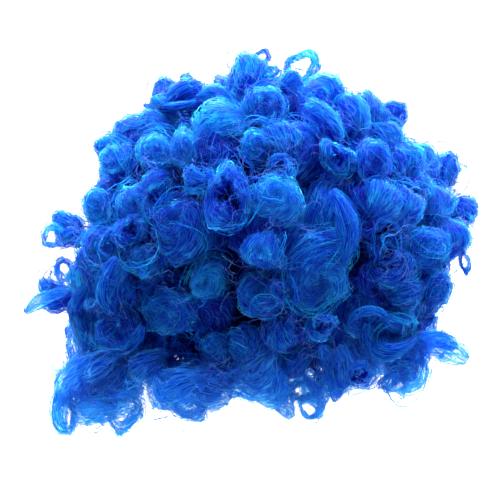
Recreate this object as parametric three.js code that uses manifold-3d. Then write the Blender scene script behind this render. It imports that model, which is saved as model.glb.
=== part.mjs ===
// A blue curly party wig, as it stands by itself on a table: a stretch-net cap bound with an elastic
// rim band, and rows of curled locks that are sewn to the net from the hem up to the crown.
// Millimetres, +Z up, the wearer's face towards -X, the origin on the table under the middle of the wig.
import * as THREE from "three";
import { mergeVertices } from "three/addons/utils/BufferGeometryUtils.js";
import Module from "manifold-3d";

const wasm = await Module();
wasm.setup();

// The net cap: half of an ellipsoid, relaxed to a head girth of about 520 mm.
const CAP_HALF_WIDTH = 90;
const CAP_HALF_DEPTH = 75;
const CAP_RISE = 116;
const CAP_RIM_HEIGHT = 40;
const NET_THICKNESS = 1.6;
const CAP_SEGMENTS = 28;
const CAP_STEPS = 8;

// The elastic band that closes the cap's edge.
const BAND_HEIGHT = 10;
const BAND_THICKNESS = 2.6;

// The outer form of the hair: an ellipsoid about this height, which the locks' tips reach.
const HAIR_CENTRE_HEIGHT = 84;
const HAIR_HALF_WIDTH = 167;
const HAIR_HALF_DEPTH = 130;
const HAIR_HALF_HEIGHT = 126;

// The gap between neighbouring locks, and between a piece and the net that it is sewn to.
const LOCK_GAP = 0.6;
const SEAT_GAP = 0.3;

// One lock's egg shape: where it is thickest along its axis, how much longer the root side is than the
// stretch that shows, and the facets of its solid.
const THICKEST_AT = 0.62;
const ROOT_STRETCH = 1.4;
const LOCK_SEGMENTS = 10;
const LOCK_STEPS = 4;

// The sewn rows, from the hem to the crown. rootLatitude is the seam's place on the cap, elevation the
// direction of the tips from the hair's centre, both in degrees; splay is how far the tips spread past
// the hair's ellipsoid, and girth the lock's largest radius.
const LOCK_ROWS = [
  { row: "hem", count: 13, rootLatitude: 8, elevation: -30, splay: 14, girth: 46, turn: 10 },
  { row: "side", count: 13, rootLatitude: 20, elevation: 3, splay: 0, girth: 44, turn: 14 },
  { row: "temple", count: 11, rootLatitude: 38, elevation: 29, splay: 0, girth: 44, turn: 4 },
  { row: "upper", count: 8, rootLatitude: 58, elevation: 54, splay: 0, girth: 46, turn: 20 },
  { row: "crown", count: 4, rootLatitude: 78, elevation: 77, splay: 0, girth: 46, turn: 40 },
];

// Where the hair stands out past its ellipsoid or falls short of it. Azimuth turns from -Y towards +X,
// and spread is the angle over which the change dies away, both in degrees.
const OUTLINE_CHANGES = [
  { place: "lock lying out on the table", azimuth: -46, elevation: -28, extra: 36, spread: 16 },
  { place: "flat left shoulder", azimuth: -80, elevation: 34, extra: -26, spread: 34 },
  { place: "left side above the hem", azimuth: -88, elevation: 6, extra: -6, spread: 18 },
  { place: "hem tucked under on the left", azimuth: -80, elevation: -34, extra: -18, spread: 18 },
  { place: "right shoulder", azimuth: 75, elevation: 40, extra: -10, spread: 24 },
  { place: "fringe hanging at the near hem", azimuth: 6, elevation: -32, extra: -16, spread: 32 },
  { place: "hem tucked under on the right", azimuth: 75, elevation: -32, extra: -20, spread: 28 },
];

// How unevenly the locks are sewn, in degrees and millimetres, each with its own run of chance.
const AZIMUTH_SCATTER = { most: 5, run: 0 };
const ELEVATION_SCATTER = { most: 4, run: 7 };
const REACH_SCATTER = { most: 7, run: 13 };
const CHANCE_HEIGHT = 43758.5453;
const CHANCE_BY_ROW = 127.1;
const CHANCE_BY_LOCK = 311.7;

// Vertices closer than this are one vertex.
const MERGE_DISTANCE = 1e-4;

const HAIR_BLUE = new THREE.MeshStandardMaterial({ color: 0x0b4fd6, roughness: 0.55, metalness: 0 });
const NET_NAVY = new THREE.MeshStandardMaterial({ color: 0x14163c, roughness: 0.8, metalness: 0 });
const BAND_NAVY = new THREE.MeshStandardMaterial({ color: 0x101230, roughness: 0.7, metalness: 0 });

const radians = THREE.MathUtils.degToRad;

// A number from -most to most that is always the same for the same lock: what is left after the point
// of a very tall sine wave.
function scatter({ most, run }, rowIndex, index) {
  const wave = CHANCE_HEIGHT * Math.sin((rowIndex + run) * CHANCE_BY_ROW + index * CHANCE_BY_LOCK);
  return most * (2 * (wave - Math.floor(wave)) - 1);
}

// The unit vector at an azimuth from the face and an elevation above the horizon, in degrees.
function direction(azimuth, elevation) {
  const level = Math.cos(radians(elevation));
  return new THREE.Vector3(
    Math.sin(radians(azimuth)) * level,
    -Math.cos(radians(azimuth)) * level,
    Math.sin(radians(elevation)),
  );
}

// A closed three.js geometry as a solid that can be cut.
function toSolid(geometry) {
  const bare = geometry.clone();
  bare.deleteAttribute("normal");
  bare.deleteAttribute("uv");
  const merged = mergeVertices(bare, MERGE_DISTANCE);
  return new wasm.Manifold(
    new wasm.Mesh({
      numProp: 3,
      vertProperties: merged.attributes.position.array,
      triVerts: new Uint32Array(merged.index.array),
    }),
  );
}

// A cut solid as a three.js geometry.
function toGeometry(solid) {
  const { vertProperties, triVerts } = solid.getMesh();
  const geometry = new THREE.BufferGeometry();
  geometry.setAttribute("position", new THREE.BufferAttribute(new Float32Array(vertProperties), 3));
  geometry.setIndex(new THREE.BufferAttribute(new Uint32Array(triVerts), 1));
  geometry.computeVertexNormals();
  return geometry;
}

// Keeps the part of a solid on the side of a plane that its normal points to.
function keepBeyond(solid, point, normal) {
  const unit = normal.clone().normalize();
  return solid.trimByPlane(unit.toArray(), point.dot(unit));
}

// A profile of (radius, height) turned about +Z and stretched from the cap's width to its depth.
function capTurning(profile) {
  const geometry = new THREE.LatheGeometry(profile, CAP_SEGMENTS);
  geometry.rotateX(Math.PI / 2);
  geometry.scale(1, CAP_HALF_DEPTH / CAP_HALF_WIDTH, 1);
  return geometry;
}

// The net: the outer wall from the crown to the rim, then the inner wall back up to the crown.
function capGeometry() {
  const wall = (inset, step) => {
    const latitude = (Math.PI / 2) * (1 - step / CAP_STEPS);
    return new THREE.Vector2(
      step === 0 ? 0 : (CAP_HALF_WIDTH - inset) * Math.cos(latitude),
      CAP_RIM_HEIGHT + (CAP_RISE - inset) * Math.sin(latitude),
    );
  };
  const steps = [...Array(CAP_STEPS + 1).keys()];
  const outer = steps.map((step) => wall(0, step));
  const inner = steps.reverse().map((step) => wall(NET_THICKNESS, step));
  return capTurning([...outer, ...inner].reverse());
}

// The band: a flat ring under the net's edge, a little thicker than the net.
function bandGeometry() {
  const outside = CAP_HALF_WIDTH + (BAND_THICKNESS - NET_THICKNESS) / 2;
  const inside = outside - BAND_THICKNESS;
  const top = CAP_RIM_HEIGHT - SEAT_GAP;
  const bottom = top - BAND_HEIGHT;
  return capTurning([
    new THREE.Vector2(inside, bottom),
    new THREE.Vector2(outside, bottom),
    new THREE.Vector2(outside, top),
    new THREE.Vector2(inside, top),
    new THREE.Vector2(inside, bottom),
  ]);
}

// A point on the net's outside and the way the net faces there.
function seatOnCap(azimuth, latitude) {
  const unit = direction(azimuth, latitude);
  const size = new THREE.Vector3(CAP_HALF_WIDTH, CAP_HALF_DEPTH, CAP_RISE);
  const point = unit.clone().multiply(size);
  const normal = unit.clone().divide(size).normalize();
  point.z += CAP_RIM_HEIGHT;
  return { point, normal };
}

// How far the hair's ellipsoid lies from its centre in a direction, with the outline's changes.
function hairReach(azimuth, elevation) {
  const unit = direction(azimuth, elevation);
  const size = new THREE.Vector3(HAIR_HALF_WIDTH, HAIR_HALF_DEPTH, HAIR_HALF_HEIGHT);
  const plain = 1 / unit.clone().divide(size).length();
  const added = OUTLINE_CHANGES.map((change) => {
    const away = unit.angleTo(direction(change.azimuth, change.elevation));
    return change.extra * Math.exp(-((away / radians(change.spread)) ** 2));
  });
  return added.reduce((sum, extra) => sum + extra, plain);
}

// Every lock's seat, tip and thickest point, row by row.
function layOutLocks() {
  return LOCK_ROWS.flatMap((row, rowIndex) =>
    [...Array(row.count).keys()].map((index) => {
      const evenly = row.turn + (360 * index) / row.count;
      const azimuth = evenly + scatter(AZIMUTH_SCATTER, rowIndex, index);
      const elevation = row.elevation + scatter(ELEVATION_SCATTER, rowIndex, index);
      const uneven = scatter(REACH_SCATTER, rowIndex, index);
      const reach = hairReach(azimuth, elevation) + row.splay + uneven;
      const seat = seatOnCap(azimuth, row.rootLatitude);
      const tip = direction(azimuth, elevation).multiplyScalar(reach);
      tip.z += HAIR_CENTRE_HEIGHT;
      const middle = seat.point.clone().lerp(tip, THICKEST_AT);
      const name = `lock_${row.row}_${String(index + 1).padStart(2, "0")}`;
      return { name, seat, tip, middle, girth: row.girth };
    }),
  );
}

// An egg about the line from the seat to the tip: two half ellipses that meet where it is thickest.
function eggGeometry({ seat, tip, girth }) {
  const axis = tip.clone().sub(seat.point);
  const length = axis.length();
  const thickest = THICKEST_AT * length;
  const rootHalf = thickest * ROOT_STRETCH;
  const profile = [...Array(2 * LOCK_STEPS + 1).keys()].map((step) => {
    const angle = (Math.PI * step) / (2 * LOCK_STEPS);
    const half = step < LOCK_STEPS ? rootHalf : length - thickest;
    const onAxis = step === 0 || step === 2 * LOCK_STEPS;
    return new THREE.Vector2(onAxis ? 0 : girth * Math.sin(angle), thickest - half * Math.cos(angle));
  });
  const geometry = new THREE.LatheGeometry(profile, LOCK_SEGMENTS);
  const up = new THREE.Vector3(0, 1, 0);
  geometry.applyQuaternion(new THREE.Quaternion().setFromUnitVectors(up, axis.normalize()));
  geometry.translate(...seat.point.toArray());
  return geometry;
}

// A lock's solid: its egg, flat where it meets the net, its neighbours and the table.
function lockGeometry(lock, locks) {
  const lift = lock.seat.normal.clone().multiplyScalar(SEAT_GAP);
  let solid = keepBeyond(toSolid(eggGeometry(lock)), lock.seat.point.clone().add(lift), lock.seat.normal);
  solid = keepBeyond(solid, new THREE.Vector3(0, 0, 0), new THREE.Vector3(0, 0, 1));
  for (const other of locks) {
    const between = lock.middle.clone().sub(other.middle);
    const apart = between.length();
    if (other === lock || apart > lock.girth + other.girth) continue;
    const side = between.divideScalar(apart).multiplyScalar((apart + LOCK_GAP) / 2);
    solid = keepBeyond(solid, other.middle.clone().add(side), side);
  }
  return toGeometry(solid);
}

function piece(name, geometry, material) {
  const mesh = new THREE.Mesh(geometry, material);
  mesh.name = name;
  return mesh;
}

const wig = new THREE.Group();
wig.add(piece("net_cap", capGeometry(), NET_NAVY));
wig.add(piece("rim_band", bandGeometry(), BAND_NAVY));
const locks = layOutLocks();
for (const lock of locks) {
  wig.add(piece(lock.name, lockGeometry(lock, locks), HAIR_BLUE));
}

// The origin is under the middle of the whole wig, on the table.
const box = new THREE.Box3().setFromObject(wig, true);
const middle = box.getCenter(new THREE.Vector3());
wig.position.set(-middle.x, -middle.y, -box.min.z);

const part = new THREE.Group();
part.add(wig);

export default part;
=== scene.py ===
from collections import namedtuple

import bpy
import numpy as np
from mathutils.bvhtree import BVHTree
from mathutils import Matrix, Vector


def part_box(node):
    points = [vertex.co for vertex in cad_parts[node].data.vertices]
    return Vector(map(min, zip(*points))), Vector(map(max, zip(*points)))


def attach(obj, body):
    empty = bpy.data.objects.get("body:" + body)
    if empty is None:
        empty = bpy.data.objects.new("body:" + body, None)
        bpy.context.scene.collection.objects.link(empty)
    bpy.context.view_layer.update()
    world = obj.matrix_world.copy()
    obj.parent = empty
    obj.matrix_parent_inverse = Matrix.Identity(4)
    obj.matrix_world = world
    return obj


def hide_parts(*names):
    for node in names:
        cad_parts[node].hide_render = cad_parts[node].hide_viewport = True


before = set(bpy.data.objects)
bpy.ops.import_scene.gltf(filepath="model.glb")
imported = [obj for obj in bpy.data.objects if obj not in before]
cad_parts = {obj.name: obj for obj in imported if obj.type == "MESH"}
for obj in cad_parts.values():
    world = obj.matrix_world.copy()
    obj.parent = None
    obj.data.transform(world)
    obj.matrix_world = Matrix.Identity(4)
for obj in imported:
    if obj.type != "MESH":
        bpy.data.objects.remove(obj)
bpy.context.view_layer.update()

# The cap: an open stretch net of dark thread in the shape of the top of a head. Rings of thread are held
# apart by zigzags, which have fewer cells towards the crown, and the wefts that the hair is sewn into are
# stitched round it as flat dark tapes.
MM = 0.001
CHANCE = np.random.default_rng(20)
NET_BAND = 5.0 * MM
NET_CELL = 5.6 * MM
NET_FEWEST_CELLS = 8
NET_THREAD = 0.42 * MM
NET_TOP = np.radians(84)
NET_FINE_STEPS = 400
WEFT_LATITUDES = np.radians((3, 12, 21, 30, 39, 48, 57, 66, 75))
WEFT_HALF_HEIGHT = 1.7 * MM
WEFT_HALF_THICKNESS = 0.7 * MM
WEFT_LIFT = 0.6 * MM
WEFT_STEPS = 120
WEFT_CORNERS = 6
THREAD_CORNERS = 3
THREAD_SQUEEZE = (8, 1, 1)
THREAD_BUMP = 0.5
THREAD_BUMP_HEIGHT = 0.2 * MM
NET_DARK = (0.004, 0.004, 0.016, 1)
NET_PALE = (0.016, 0.017, 0.055, 1)
NET_ROUGHNESS = 0.8

# How near to the table a piece comes, the width and length that count as one on a fibre map, and over how
# many of them the tubes' starting places on it are spread.
FLOOR_GAP = 0.2 * MM
FIBRE_PITCH = 0.6 * MM
FIBRE_RUN = 9.0 * MM
FIBRE_PLACES = 900

cap_low, cap_high = np.array(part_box("net_cap"))
cap_middle = np.array((*(cap_low + cap_high)[:2] / 2, cap_low[2]))
cap_reach = np.array((*(cap_high - cap_low)[:2] / 2, cap_high[2] - cap_low[2]))

# Rings of points carried along paths, as an array of (tubes, steps, corners, 3). fibre counts the fibres
# along and across at each corner, with one more each way to close the round, and tone is the shade there,
# from 0 for dark to 1 for light. A closed tube's last ring meets its first. room is a tube's share of the
# baked map.
Tubes = namedtuple("Tubes", "rings fibre tone closed room")


def unit(vectors):
    """Each vector divided by its own length."""
    return vectors / np.linalg.norm(vectors, axis=-1, keepdims=True)


def on_cap(azimuth, latitude, lift=0.0):
    """The net's ellipsoid: the unit vector at an azimuth and a latitude, stretched by the cap's half sizes,
    each of them longer by lift."""
    level = np.cos(latitude)
    ways = np.broadcast_arrays(level * np.cos(azimuth), level * np.sin(azimuth), np.sin(latitude))
    return cap_middle + np.stack(ways, -1) * (cap_reach + lift)


def across_path(paths, outward, closed=False):
    """Two ways square to paths at each step, to the side and as near as can be to outward."""
    if closed:
        along = np.roll(paths, -1, axis=1) - np.roll(paths, 1, axis=1)
    else:
        along = np.gradient(paths, axis=1)
    along = unit(along)
    side = unit(np.cross(along, outward))
    return side, np.cross(side, along)


def carry_profile(paths, outward, half_width, half_height, corners, closed=False):
    """A flattened round profile carried along paths: at each step its corners lie on an ellipse across the
    path, half_width to the side and half_height towards outward."""
    side, up = across_path(paths, outward, closed)
    angle = np.pi / 2 + 2 * np.pi * np.arange(corners) / corners
    sideways = (side * half_width[..., None])[:, :, None] * np.cos(angle)[:, None]
    upwards = (up * half_height[..., None])[:, :, None] * np.sin(angle)[:, None]
    return paths[:, :, None] + sideways + upwards


def strand_tubes(rings, tone=0.5, closed=False):
    """Thin tubes as they are built into a piece. Their fibre map counts lengths of fibre along and fibres
    across, and each tube starts at its own place in it, so that no two look alike."""
    middle = rings.mean(axis=2)
    if closed:
        middle = np.concatenate([middle, middle[:, :1]], axis=1)
    steps = np.linalg.norm(np.diff(middle, axis=1, prepend=middle[:, :1]), axis=-1)
    along = np.cumsum(steps, axis=1) / FIBRE_RUN
    side = np.linalg.norm(rings[:, :, 0] - rings[:, :, 1], axis=-1).max(axis=1) / FIBRE_PITCH
    across = side[:, None] * np.arange(rings.shape[2] + 1) + CHANCE.uniform(0, FIBRE_PLACES, (len(rings), 1))
    fibre = np.stack(np.broadcast_arrays(along[:, :, None], across[:, None]), -1)
    return Tubes(rings, fibre, np.broadcast_to(tone, rings.shape[:3]), closed, 1)


def face_corners(grid, closed):
    """The values of a grid of rings at every corner of the faces between them: the quads, then the two end
    faces of each tube that is open."""
    quads = np.stack([grid[:, :-1, :-1], grid[:, 1:, :-1], grid[:, 1:, 1:], grid[:, :-1, 1:]], 3)
    if closed:
        return quads.reshape(-1, grid.shape[-1])
    ends = np.concatenate([grid[:, 0, :-1], grid[:, -1, -2::-1]])
    return np.concatenate([quads.reshape(-1, grid.shape[-1]), ends.reshape(-1, grid.shape[-1])])


def tubes_piece(name, groups, material, slot, *replaced):
    """One mesh of many tubes. Quads join each ring to the next, and an open tube is closed by a face at each
    end. The map named fibre is the tubes' own, and OFBake gives each of them a strip to itself."""
    total_room = sum(len(group.rings) * group.room for group in groups)
    points, tones, corner_points, corner_fibre, corner_strip, face_sizes = [], [], [], [], [], []
    first_point, first_room = 0, 0.0
    for group in groups:
        tubes, steps, corners = group.rings.shape[:3]
        index = first_point + np.arange(tubes * steps * corners).reshape(tubes, steps, corners)
        index = np.concatenate([index, index[:, :, :1]], axis=2)
        if group.closed:
            index = np.concatenate([index, index[:, :1]], axis=1)
        spans = index.shape[1] - 1
        place = np.arange(tubes)[:, None, None] + np.arange(corners + 1) / corners
        place = (place * group.room + first_room) / total_room
        strip = np.stack(np.broadcast_arrays(np.linspace(0, 1, spans + 1)[:, None], place), -1)
        corner_points.append(face_corners(index[..., None], group.closed).ravel())
        corner_fibre.append(face_corners(group.fibre, group.closed))
        corner_strip.append(face_corners(strip, group.closed))
        face_sizes.append(np.full(tubes * spans * corners, 4))
        if not group.closed:
            face_sizes.append(np.full(2 * tubes, corners))
        points.append(group.rings.reshape(-1, 3))
        tones.append(group.tone.ravel())
        first_point += tubes * steps * corners
        first_room += tubes * group.room
    points, sizes = np.concatenate(points), np.concatenate(face_sizes)
    points[:, 2] = np.maximum(points[:, 2], FLOOR_GAP)
    corner_points = np.concatenate(corner_points)
    mesh = bpy.data.meshes.new(name)
    mesh.vertices.add(len(points))
    mesh.vertices.foreach_set("co", points.ravel())
    mesh.loops.add(len(corner_points))
    mesh.loops.foreach_set("vertex_index", corner_points)
    mesh.polygons.add(len(sizes))
    mesh.polygons.foreach_set("loop_start", np.cumsum(sizes) - sizes)
    mesh.polygons.foreach_set("use_smooth", np.ones(len(sizes), bool))
    mesh.uv_layers.new(name="fibre").data.foreach_set("uv", np.concatenate(corner_fibre).ravel())
    mesh.uv_layers.new(name="OFBake").data.foreach_set("uv", np.concatenate(corner_strip).ravel())
    mesh.attributes.new("tone", "FLOAT", "POINT").data.foreach_set("value", np.concatenate(tones))
    mesh.update(calc_edges=True)
    mesh.materials.append(material)
    piece = bpy.data.objects.new(name, mesh)
    bpy.context.scene.collection.objects.link(piece)
    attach(piece, "root")
    if replaced:
        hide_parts(*replaced)


def thread_material(name, dark, pale, roughness):
    """Spun thread: fine noise stretched along each thread mixes the two shades and lifts the surface."""
    material = bpy.data.materials.new(name)
    material.use_nodes = True
    tree = material.node_tree
    surface = tree.nodes["Principled BSDF"]
    fibre = tree.nodes.new("ShaderNodeUVMap")
    fibre.uv_map = "fibre"
    stretch = tree.nodes.new("ShaderNodeMapping")
    stretch.inputs["Scale"].default_value = THREAD_SQUEEZE
    noise = tree.nodes.new("ShaderNodeTexNoise")
    noise.inputs["Scale"].default_value = 1.0
    shades = tree.nodes.new("ShaderNodeMix")
    shades.data_type = "RGBA"
    shades.inputs["A"].default_value = dark
    shades.inputs["B"].default_value = pale
    bump = tree.nodes.new("ShaderNodeBump")
    bump.inputs["Strength"].default_value = THREAD_BUMP
    bump.inputs["Distance"].default_value = THREAD_BUMP_HEIGHT
    tree.links.new(fibre.outputs["UV"], stretch.inputs["Vector"])
    tree.links.new(stretch.outputs["Vector"], noise.inputs["Vector"])
    tree.links.new(noise.outputs["Fac"], shades.inputs["Factor"])
    tree.links.new(noise.outputs["Fac"], bump.inputs["Height"])
    tree.links.new(shades.outputs["Result"], surface.inputs["Base Color"])
    tree.links.new(bump.outputs["Normal"], surface.inputs["Normal"])
    surface.inputs["Roughness"].default_value = roughness
    return material


def net_threads():
    """Rings at steady steps up the cap, and between each two a zigzag that touches them by turns. A ring has
    as many cells as fit its girth."""
    rise = np.linspace(0, np.pi / 2, NET_FINE_STEPS)
    walk = np.linalg.norm(np.diff(on_cap(0.0, rise), axis=0), axis=-1).cumsum()
    bands = int(walk[-1] * NET_TOP / (np.pi / 2) / NET_BAND)
    latitudes = np.interp(np.linspace(0, np.interp(NET_TOP, rise[1:], walk), bands + 1), walk, rise[1:])
    groups = []
    for number, (low, high) in enumerate(zip(latitudes[:-1], latitudes[1:])):
        girth = np.pi * (cap_reach[0] + cap_reach[1]) * np.cos(low)
        cells = max(NET_FEWEST_CELLS, int(girth / NET_CELL))
        azimuth = 2 * np.pi * (np.arange(2 * cells) + number % 2) / (2 * cells)
        latitude = np.where(np.arange(2 * cells) % 2, high, low)
        for paths in (on_cap(azimuth, latitude)[None], on_cap(azimuth[::2], np.full(cells, low))[None]):
            thick = np.full(paths.shape[:2], NET_THREAD)
            rings = carry_profile(paths, paths - cap_middle, thick, thick, THREAD_CORNERS, closed=True)
            groups.append(strand_tubes(rings, closed=True))
    return groups


def weft_tapes():
    """Flat tapes round the cap at each sewn row's latitude, standing just off the net."""
    azimuth = 2 * np.pi * np.arange(WEFT_STEPS) / WEFT_STEPS
    paths = on_cap(azimuth, WEFT_LATITUDES[:, None], WEFT_LIFT)
    across = np.full(paths.shape[:2], WEFT_HALF_HEIGHT)
    thick = np.full(paths.shape[:2], WEFT_HALF_THICKNESS)
    rings = carry_profile(paths, paths - cap_middle, across, thick, WEFT_CORNERS, closed=True)
    return strand_tubes(rings, closed=True)


net_thread = thread_material("net_thread", NET_DARK, NET_PALE, NET_ROUGHNESS)
tubes_piece("net_cap_threads", [*net_threads(), weft_tapes()], net_thread, "net", "net_cap")

# The rim band: a dark elastic tape folded over the net's edge and sewn down with a zigzag stitch. The elastic
# draws the edge in, so the tape is gathered into small waves.
BAND_STEPS = 220
BAND_CORNERS = 12
BAND_SQUARE = 0.35
BAND_WAVES = 46
BAND_WAVE = 0.35 * MM
BAND_SWELLS = 5
BAND_SWELL = 0.4
BAND_INSET = 0.5 * MM
TAPE_INSET = 0.8 * MM
TAPE_HALF_THICKNESS = 1.0 * MM
TAPE_MARGIN = 0.3 * MM
STITCH_THREAD = 0.3 * MM
STITCH_COUNT = 150
STITCH_LOW, STITCH_HIGH = -1.4 * MM, 2.6 * MM
STITCH_OUTSIDE, STITCH_INSIDE = 0.55 * MM, -2.1 * MM
BAND_DARK = (0.004, 0.004, 0.014, 1)
BAND_PALE = (0.02, 0.021, 0.06, 1)
BAND_ROUGHNESS = 0.7

band_low, band_high = np.array(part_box("rim_band"))
band_middle = (band_low + band_high) / 2
band_reach = (band_high - band_low) / 2


def round_band(azimuth, outward, height):
    """The band's oval: a point at an azimuth, so far out from the tape's middle line and so high on it."""
    way = np.stack([np.cos(azimuth), np.sin(azimuth), np.zeros_like(azimuth)], -1)
    lift = np.stack([np.zeros_like(height), np.zeros_like(height), height], -1)
    return band_middle + way * (band_reach * (1, 1, 0) - BAND_INSET + outward[..., None]) * (1, 1, 0) + lift


def gathered_tape():
    """A rounded rectangle carried round the oval, whose middle line waves in and out with the gathers. They
    are now wider and now narrower, a few times round."""
    azimuth = 2 * np.pi * np.arange(BAND_STEPS) / BAND_STEPS
    swell = 1 - BAND_SWELL + BAND_SWELL * np.sin(BAND_SWELLS * azimuth)
    wave = BAND_WAVE * np.sin(BAND_WAVES * azimuth) * swell
    around = 2 * np.pi * np.arange(BAND_CORNERS) / BAND_CORNERS
    squared = np.sign(np.cos(around)) * np.abs(np.cos(around)) ** BAND_SQUARE
    stand = np.sign(np.sin(around)) * np.abs(np.sin(around)) ** BAND_SQUARE
    outward = wave[:, None] - TAPE_INSET + TAPE_HALF_THICKNESS * squared
    height = np.broadcast_to((band_reach[2] - TAPE_MARGIN) * stand, outward.shape)
    rings = round_band(np.broadcast_to(azimuth[:, None], outward.shape), outward, height)
    return strand_tubes(rings[None], closed=True)


def zigzag_stitch():
    """A thread that runs up and down across the tape's outside, and another across its inside."""
    turn = np.arange(2 * STITCH_COUNT)
    azimuth = np.pi * turn / STITCH_COUNT
    height = np.where(turn % 2, STITCH_HIGH, STITCH_LOW)
    reaches = (STITCH_OUTSIDE, STITCH_INSIDE)
    paths = np.stack([round_band(azimuth, np.full(len(turn), reach), height) for reach in reaches])
    thick = np.full(paths.shape[:2], STITCH_THREAD)
    rings = carry_profile(paths, paths - band_middle, thick, thick, THREAD_CORNERS, closed=True)
    return strand_tubes(rings, closed=True)


elastic = thread_material("elastic_tape", BAND_DARK, BAND_PALE, BAND_ROUGHNESS)
tubes_piece("rim_band_tape", [gathered_tape(), zigzag_stitch()], elastic, "band", "rim_band")

# The view: the wig is seen from the front and a little above, from over a metre away. PIXEL is the size of
# one of the photograph's pixels at the point that the camera aims at, so that a place in the photograph can
# be followed along its line of sight to the hair.
PICTURE_SIDE = 500
PICTURE_MIDDLE = PICTURE_SIDE / 2
PIXEL = 0.671 * MM
VIEW_ELEVATION = np.radians(25)
VIEW_DISTANCE = 1.2
VIEW_AIM = np.array((0.8, -9.9, 78.8)) * MM
SENSOR_WIDTH = 36.0

view_right = np.array((1.0, 0.0, 0.0))
view_up = np.array((0.0, np.sin(VIEW_ELEVATION), np.cos(VIEW_ELEVATION)))
view_back = np.array((0.0, -np.cos(VIEW_ELEVATION), np.sin(VIEW_ELEVATION)))
view_eye = VIEW_AIM + VIEW_DISTANCE * view_back

camera = bpy.data.objects.new("view", bpy.data.cameras.new("view"))
camera.data.sensor_width = SENSOR_WIDTH
camera.data.lens = SENSOR_WIDTH * VIEW_DISTANCE / (PICTURE_SIDE * PIXEL)
camera.location = view_eye
camera.rotation_euler = (np.pi / 2 - VIEW_ELEVATION, 0, 0)
bpy.context.scene.collection.objects.link(camera)
bpy.context.scene.camera = camera

# The locks: bunches of bright blue synthetic fibre, set into tight curls and sewn to the net by the root.
# Each lock of the frame becomes a few curls. A curl is a soft body of matted fibre in a haze of looser fibre,
# with wisps of strands wound round it, and a stem that runs down to the net.
CAP_CLEARANCE = 2.0 * MM
CAP_CORE = 0.2
SEEN_FULLNESS = 1.08
HAIR_MIDDLE = np.array((0.0, 0.0, 75 * MM))

# How much lighter a curl is painted where it rises, up to how many radii, which puts painted shade in the
# hollows between curls, and how much the curls differ; how much painted light the ends get near the table,
# where the glowing floor lights them and light comes through, and up to what height; and how far back the
# painted shade against the tent's light starts and is full, how much more the hollows' painted shade counts
# there, and how much darker the back is painted.
HOLLOW_PAINTED_SHADE = 0.12
TONE_REACH = 1.2
TONE_SPREAD = 0.08
HEM_PAINTED_LIGHT = 1.0
HEM_HEIGHT = 40 * MM
BACK_START, BACK_FULL = 20 * MM, 80 * MM
BACK_HOLLOW_PAINTED_SHADE = 0.45
BACK_PAINTED_SHADE = -0.6

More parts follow.
